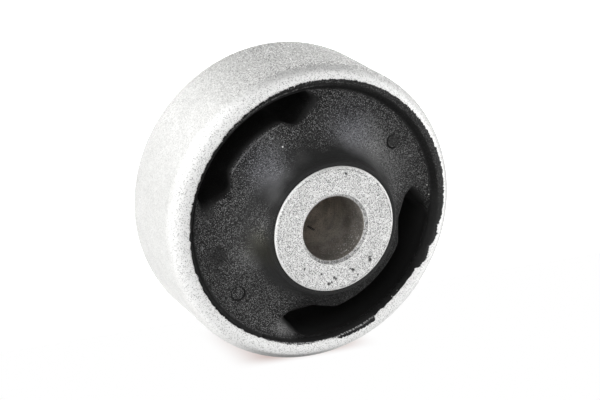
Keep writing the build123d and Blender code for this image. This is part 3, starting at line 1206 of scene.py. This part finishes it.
@dataclass
class RubberBody:
    """The moulded rubber between the sleeves, with its voids, flash and ejector pin marks.

    Attributes:
        name: The piece's name.
        wide: The wide void.
        narrow: The narrow void.
        flash: The flash on the outer sleeve's end.
        collar: Radius of the collar round the inner sleeve.
        hub_top: Height of the collar.
        sweep: Radius of the hub's hollow sweep.
        collar_round: Rounding of the collar's edge.
        shoulder: How far from a void's edge the closest rows lie.
        ease: How the rows outside a void are spread.
        sweep_rows: How many rows the sweep has.
        even_step: Angle between columns where nothing calls for closer ones.
        close_steps: First angle, last angle and step of the stretches with closer columns.
        least_step: Columns closer than this are left out.
        mark_radius: Radius of an ejector pin mark.
        mark_circle: Radius on which the marks lie.
        mark_angles: Angles of the marks.
        mark_depth: Depth of a mark.
        mark_edge: Width of the step round it.
        mark_window: Half the angle over which rows are packed round a mark.
    """

    name: str = "rubber_body_skin"
    wide: VoidShape = field(default_factory=lambda: VoidShape(
        facing=0.6, bumper_half=26.0, notch_half=40.5, lining_half=44.4, tip_half=56.8, flank_reach=4.1,
        soft_inside=(0.6, 1.2, 1.6), corner=(3.0, 2.6, 1.0, 1.6), notch_depth=1.7))
    narrow: VoidShape = field(default_factory=lambda: VoidShape(
        facing=180.0, bumper_half=19.5, notch_half=28.6, lining_half=35.2, tip_half=39.2, flank_reach=2.0,
        soft_inside=(0.9, 1.5, 3.0)))
    flash: Flash = field(default_factory=Flash)
    collar: float = 12.8
    hub_top: float = 18.6
    sweep: float = 8.6
    collar_round: float = 0.3
    shoulder: tuple = (3.2, 2.4, 1.75, 1.25, 0.85, 0.52, 0.29, 0.13, 0.04, 0.0)
    ease: tuple = (0.0, 0.02, 0.06, 0.13, 0.23, 0.36, 0.52, 0.73, 1.0)
    sweep_rows: int = 31
    even_step: float = 1.25
    close_steps: tuple[tuple[float, float, float], ...] = ((17.0, 190.0, 0.335), (-58.0, -9.0, 0.4))
    least_step: float = 0.07
    mark_radius: float = 1.4
    mark_circle: float = 20.4
    mark_angles: tuple = (88.0, -88.0)
    mark_depth: float = 0.16
    mark_edge: float = 0.1
    mark_window: float = 5.0

    def profile(self) -> tuple[Array, Array, Array]:
        """Return the upper side's section from the inner sleeve outwards: radius, height, length."""
        edge, turn = np.linspace(0.0, np.pi / 2, 5), np.linspace(0.0, np.pi / 2, 60)[1:]
        face = BushSizes.face_level
        radius = np.concatenate([
            [BushSizes.inner_radius], self.collar - self.collar_round * (1 - np.sin(edge)) + 1e-5,
            self.collar + self.sweep * (1 - np.cos(turn)), [BushSizes.face_edge, BushSizes.outer_bore]])
        height = np.concatenate([
            [self.hub_top], self.hub_top - self.collar_round * (1 - np.cos(edge)),
            face + self.sweep * (1 - np.sin(turn)), [face, BushSizes.outer_end]])
        length = np.concatenate([[0.0], np.cumsum(np.hypot(np.diff(radius), np.diff(height)))])
        return radius, height, length

    def angles(self) -> Array:
        """Return the angles of the mesh's columns, closer where the shape turns quickly."""
        marks = [np.arange(0.0, 360.0, self.even_step)]
        marks += [np.arange(*stretch) for stretch in self.close_steps]
        for void in (self.wide, self.narrow):
            for side in (1.0, -1.0):
                near = void.tip_angle - 7.0 * (np.arange(0, 15) / 14.0) ** 2
                beyond = void.tip_angle + np.array([0.08, 0.2, 0.35, 0.55, 0.8, 1.15, 1.6, 2.2, 3.0, 4.0])
                corner = void.bumper_half + np.linspace(-3.0, 3.0, 9)
                notch = void.notch_half + np.linspace(-3.0, 3.0, 9)
                marks.append(void.facing + side * np.concatenate([near, beyond, corner, notch]))
        for knots in (self.flash.reach, self.flash.torn, self.flash.sliver):
            marks += [knots[end][0] + np.array([-0.1, 0.0, 0.1]) for end in (0, -1)]
        for mark in self.mark_angles:
            marks.append(mark + np.linspace(-4.4, 4.4, 33))
        both = np.sort(np.concatenate(marks) % 360.0)
        voids = (self.wide, self.narrow)
        tips = np.array([void.facing + side * void.tip_angle for void in voids for side in (1, -1)]) % 360.0
        kept: list[float] = []
        for angle in both:
            is_tip = np.abs(angle - tips).min() < 1e-9
            if kept and angle - kept[-1] < self.least_step:
                if not is_tip:
                    continue
                kept.pop()
            kept.append(angle)
        return np.array(kept)

    def near_mark(self, angle: Array) -> Array:
        """Return 1 at the columns through a pin mark, falling to 0 beside it."""
        away = np.min([np.abs(angle_gap(angle, mark)) for mark in self.mark_angles], axis=0)
        return smooth_step(2.0 - away / self.mark_window)

    def split_radius(self, angle: Array) -> Array:
        """Return the radius where the inner and outer parts of the mesh meet on a spoke."""
        gap = np.abs(angle_gap(angle, 0.0))
        start, end = self.wide.tip_angle, 180.0 - self.narrow.tip_angle
        t = smooth_step((gap - start) / (end - start))
        plain = self.wide.tip_radius * (1 - t) + self.narrow.tip_radius * t
        beyond = self.mark_circle + self.mark_radius + 0.5
        return plain + (beyond - plain) * self.near_mark(angle)

    def hub_lengths(self, angle: Array, edge: Array, start: float) -> Array:
        """Return how far along the section each row of the sweep lies.

        Args:
            angle: Angles of the columns.
            edge: Length at the inner edge of the void or at the split, in each column.
            start: Length at which the sweep starts.

        Returns:
            An array with a row per column.
        """
        shoulder = edge[:, None] - np.array(self.shoulder)
        t = np.linspace(0.0, 1.0, self.sweep_rows + 1)[None, :-1]
        plain = np.concatenate([start + t * (shoulder[:, :1] - start), shoulder], 1)
        count = plain.shape[1]
        packed = edge - 2.0 * self.mark_radius - 1.3
        few = count // 4
        low = start + np.linspace(0.0, 1.0, few + 1)[None, :-1] * (packed[:, None] - start)
        high = packed[:, None] + np.linspace(0.0, 1.0, count - few)[None] * (edge - packed)[:, None]
        near = self.near_mark(angle)[:, None]
        return plain * (1 - near) + np.concatenate([low, high], 1) * near

    def build(self) -> bpy.types.Object:
        """Build the rubber's closed mesh and return it."""
        angle = self.angles()
        radius, height, length = self.profile()
        split = self.split_radius(angle)
        r_in, r_out = split.copy(), split.copy()
        is_open = np.zeros(len(angle), bool)
        for void in (self.wide, self.narrow):
            here, inner, outer = void.mouth(angle)
            r_in[here], r_out[here] = inner[here], outer[here]
            is_open |= here
        collar = length[:6]
        sweep = self.hub_lengths(angle, np.interp(r_in, radius, length), float(collar[-1]) + 0.05)
        s = np.concatenate([np.broadcast_to(collar, (len(angle), len(collar))), sweep], 1)
        hub_r, hub_z = np.interp(s, length, radius), np.interp(s, length, height)
        hub_r[:, -1] = r_in
        hub_z[:, -1] = np.interp(r_in, radius, height)
        knee = np.maximum(BushSizes.face_edge, r_out + 0.15)
        land_r = r_out[:, None] + (knee - r_out)[:, None] * np.array(self.ease)
        land_z = np.interp(land_r, radius, height)
        hubs, lands = hub_r.shape[1], land_r.shape[1]
        top_r, top_z = np.concatenate([hub_r, land_r], 1), np.concatenate([hub_z, land_z], 1)
        plan = polar(top_r, angle[:, None] * np.ones_like(top_r)).reshape(-1, 2)
        drop = np.maximum(self.wide.drop(plan), self.narrow.drop(plan)).reshape(top_r.shape)
        drop[:, hubs:] *= 1.0 - 0.5 * smooth_step(top_r[:, hubs:] - 23.0)
        low_z = drop - top_z
        top_z = top_z - drop
        self.press_marks(angle, top_r, top_z)
        rim_r, rim_z = self.flash.rows(angle, top_r[:, -1], top_z[:, -1])
        hub_low = [0, 3, 5] + list(range(6, 6 + self.sweep_rows, 5)) + [hubs - k for k in (10, 8, 6, 4, 2, 1)]
        land_low = [hubs + k for k in (0, 2, 4, 6, 8)]
        corner = np.full((len(angle), 1), BushSizes.outer_bore)
        parts_r = [top_r[:, :hubs], self.between(top_r[:, hubs - 1], top_r[:, hubs - 1]),
                   top_r[:, hub_low[::-1]], top_r[:, hubs:], rim_r, corner, top_r[:, land_low[::-1]],
                   self.between(top_r[:, hubs], top_r[:, hubs])]
        parts_z = [top_z[:, :hubs], self.between(top_z[:, hubs - 1], low_z[:, hubs - 1]),
                   low_z[:, hub_low[::-1]], top_z[:, hubs:], rim_z, 0.0 * corner - BushSizes.outer_end, low_z[:, land_low[::-1]],
                   self.between(low_z[:, hubs], top_z[:, hubs])]
        starts = np.concatenate([[0], np.cumsum([part.shape[1] for part in parts_r])])
        return self.join(angle, np.concatenate(parts_r, 1), np.concatenate(parts_z, 1), is_open,
                         [int(start) for start in starts])

    def between(self, upper: Array, lower: Array) -> Array:
        """Return the rows that divide a wall between its two ends."""
        t = np.array([0.12, 0.5, 0.88])
        return upper[:, None] + (lower - upper)[:, None] * t

    def press_marks(self, angle: Array, top_r: Array, top_z: Array) -> None:
        """Sink the ejector pins' flat ends into the upper side, in place."""
        plan = polar(top_r, angle[:, None] * np.ones_like(top_r))
        for mark in self.mark_angles:
            off = np.linalg.norm(plan - polar(self.mark_circle, mark), axis=-1)
            inside = smooth_step((self.mark_radius + self.mark_edge / 2 - off) / self.mark_edge)
            sunk = np.minimum(top_z, BushSizes.face_level - self.mark_depth)
            top_z += (sunk - top_z) * inside

    def join(self, angle: Array, radius: Array, height: Array, is_open: Array,
             starts: list[int]) -> bpy.types.Object:
        """Join the upper side, the lower side and the voids' walls into one mesh.

        Args:
            angle: Angles of the columns.
            radius: Radius of each row in each column.
            height: Height above mid of each row in each column.
            is_open: Whether a void is open at each column.
            starts: First row of each part: hub, hub wall, hub below, land, rim, corner, land below,
                outer wall and the end.

        Returns:
            The linked object.
        """
        hub, hub_wall, hub_low, land, rim, corner, land_low, outer_wall, end = starts

        def run(first: int, last: int) -> list[tuple[int, int]]:
            """Return pairs of neighbouring rows from first to last."""
            return [(row, row + 1) for row in range(first, last)]

        always = (run(hub, hub_wall - 1) + run(hub_low, land - 1) + [(land - 1, hub)]
                  + run(land, outer_wall - 1))
        walls = run(hub_wall - 1, hub_low) + run(outer_wall - 1, end - 1) + [(end - 1, land)]
        near_open = is_open | np.roll(is_open, -1)
        faces = strips(len(angle), always, radius.shape[1])
        faces += strips(len(angle), walls, radius.shape[1], near_open)
        return shown_object(self.name, grid_points(angle, radius, height), faces)

    def dress(self) -> bpy.types.Object:
        """Build the piece, give it its finish and hang it on the frame."""
        return hang(self.build(), Slot.RUBBER, MouldedRubber("moulded_rubber"))


# ---------------------------------------------------------------- stage, light and camera


@dataclass
class Studio:
    """Plain pale floor, soft light and the camera.

    Attributes:
        floor_span: Width of the square floor, in metres.
        right: The camera's right.
        up: The camera's up.
        eye: Where the camera stands, in metres.
        lens: Its focal length on a 36 mm wide sensor.
        floor_glow: Pairs of angle and the strength of the light that the floor throws up there.
        seen_glow: Extra brightness of the floor as the camera sees it.
        fill: Strength of the even light in the room.
        card_turn: Angle round the axis at which the ring's side touches the card.
        card_span: Width of the square card, in metres.
        card_gap: How far the card stands off the ring, in millimetres.
        shadow_core: How far to each side the shadow is darkest, in millimetres.
        shadow_reach: How far the shadow reaches to each side, in millimetres.
        shadow_tone: Colour of the shadow where it is darkest.
        box_size: Width of a softbox in metres.
        box_gap: How far a softbox hangs from the bush, in metres.
        softboxes: Name, angle round the axis, angle above the floor and watts of each softbox.
    """

    floor_span: float = 6.0
    right: tuple[float, float, float] = (0.56818, 0.70943, 0.417)
    up: tuple[float, float, float] = (-0.65756, 0.69607, -0.28825)
    eye: tuple[float, float, float] = (-0.203, -0.0445, 0.37489)
    lens: float = 129.87
    floor_glow: Knots = (
        (-180, 0.32), (-150, 0.35), (-120, 0.25), (-90, 0.1), (-60, 0.18), (-30, 0.0), (0, 0.06), (30, 0.14),
        (60, 0.1), (90, 0.23), (120, 0.21), (150, 0.02), (180, 0.32))
    seen_glow: float = 1.0
    fill: float = 0.01
    card_turn: float = -38.7
    card_span: float = 0.4
    card_gap: float = 0.1
    shadow_core: float = 4.0
    shadow_reach: float = 16.0
    shadow_tone: Colour = (0.5, 0.36, 0.33)
    box_size: float = 0.5
    box_gap: float = 0.9
    softboxes: tuple[tuple[str, float, float, float], ...] = (
        ("low_right_softbox", 30.0, 12.0, 2.0), ("right_softbox", 60.0, 12.0, 4.3),
        ("left_softbox", 180.0, 12.0, 0.6), ("far_left_softbox", 210.0, 12.0, 2.9),
        ("lower_left_softbox", 240.0, 12.0, 2.9), ("low_softbox", 270.0, 12.0, 1.3),
        ("high_low_right_softbox", 30.0, 36.0, 1.8), ("high_right_softbox", 60.0, 36.0, 0.9),
        ("high_left_softbox", 180.0, 36.0, 3.2), ("high_low_softbox", 270.0, 36.0, 0.9),
        ("high_lower_right_softbox", 300.0, 36.0, 1.3), ("front_softbox", 0.0, 62.0, 2.0),
        ("front_left_softbox", 180.0, 62.0, 1.9))

    def sheet(self, name: str, corners: list, material: bpy.types.Material) -> bpy.types.Object:
        """Return a flat sheet between four corners in metres."""
        mesh = bpy.data.meshes.new(name)
        mesh.from_pydata(corners, [], [(0, 1, 2, 3)])
        mesh.materials.append(material)
        return linked(name, mesh)

    def floor(self) -> bpy.types.Object:
        """Lay the pale floor under the bush."""
        half = self.floor_span / 2
        corners = [(-half, -half, 0), (half, -half, 0), (half, half, 0), (-half, half, 0)]
        plane = self.sheet("floor", corners, new_material("pale_floor", self.paper))
        return plane

    def paper(self, place: Field) -> Inputs:
        """Return white paper that throws more light up on one side and looks plain white to the eye."""
        glow = AxisPlace().on(place)["Turn"].round_line(self.floor_glow)
        seen = seen_by_camera(place.wiring)
        return {"Base Color": (0.7, 0.7, 0.7, 1.0), "Roughness": 0.9, "Emission Color": WHITE,
                "Emission Strength": seen.mix(glow, self.seen_glow)}

    def card(self) -> bpy.types.Object:
        """Stand a white card against the ring's side that carries a painted soft shadow of the bush."""
        down, high = Vector((*polar(1.0, self.card_turn), 0.0)), Vector((0.0, 0.0, 1.0))
        along = high.cross(down)
        foot = down * (BushSizes.outer_radius + self.card_gap) * MM + high * BushSizes.mid_height * MM
        half = self.card_span / 2
        sides = ((-1, -1), (-1, 1), (1, 1), (1, -1))
        corners = [tuple(foot + along * a * half + high * h * half) for a, h in sides]
        material = new_material("shadow_card", lambda place: self.shadow(place, along))
        plane = self.sheet("shadow_card", corners, material)
        return plane

    def shadow(self, place: Field, along: Vector) -> Inputs:
        """Return white card with a painted soft shadow, that only the eye sees and only from its front."""
        side = abs(place.vector("DOT_PRODUCT", tuple(along))) / MM
        height = AxisPlace().on(place)["Height"]
        near = side.fall(self.shadow_core, self.shadow_reach)
        shadow = near * height.fall(4.5, 9.5) * height.span(-15.0, -5.0)
        back = place.wiring.out("ShaderNodeNewGeometry", {}, "Backfacing")
        return {"Base Color": (0.0, 0.0, 0.0, 1.0), "Specular IOR Level": 0.0, "Emission Strength": 1.0,
                "Emission Color": shadow.blend(WHITE[:3], self.shadow_tone),
                "Alpha": seen_by_camera(place.wiring) * (1.0 - back)}

    def room(self) -> None:
        """Fill the room with a little even light; the camera sees it plain white."""
        world = bpy.data.worlds.new("white_room")
        bpy.context.scene.world = world
        world.use_nodes = True
        wiring = Wiring(world.node_tree)
        strength = seen_by_camera(wiring).mix(self.fill, 1.0)
        wiring.fill(world.node_tree.nodes["Background"], {"Color": WHITE, "Strength": strength})

    def softbox(self, name: str, turn: float, lift: float, power: float) -> None:
        """Hang one area light that looks at the bush.

        Args:
            name: The light's name.
            turn: Its angle round the bush's axis.
            lift: Its angle above the floor.
            power: Its power in watts.
        """
        light = bpy.data.lights.new(name, "AREA")
        light.shape = "SQUARE"
        light.size = self.box_size
        light.energy = power
        lamp = linked(name, light)
        lean = math.radians(lift)
        way = Vector((*(polar(1.0, turn) * math.cos(lean)), math.sin(lean)))
        lamp.location = Vector((0.0, 0.0, BushSizes.mid_height * MM)) + way * self.box_gap
        lamp.rotation_mode = "QUATERNION"
        lamp.rotation_quaternion = (-way).to_track_quat("-Z", "Y")

    def camera(self) -> None:
        """Stand the camera where it looks down on the upper end."""
        data = bpy.data.cameras.new("camera")
        data.sensor_width = 36.0
        data.lens = self.lens
        data.clip_start, data.clip_end = 0.01, 50.0
        eye = linked("camera", data)
        right, up = Vector(self.right), Vector(self.up)
        turn = Matrix((right, up, right.cross(up))).transposed()
        eye.matrix_world = Matrix.Translation(self.eye) @ turn.to_4x4()
        bpy.context.scene.camera = eye

    def build(self) -> None:
        """Set up the whole studio."""
        self.camera()
        self.room()
        self.floor()
        self.card()
        for box in self.softboxes:
            self.softbox(*box)


def main() -> None:
    """Build every piece round the frame, then light and look at it."""
    logging.basicConfig(level=logging.INFO, format="%(message)s")
    bpy.context.scene.view_settings.view_transform = "Standard"
    for part in (OuterSleeve(), RubberBody(), InnerSleeve()):
        piece = part.dress()
        LOG.info("%s: %d faces", piece.name, len(piece.data.polygons))
    Studio().build()


if __name__ == "__main__":
    main()
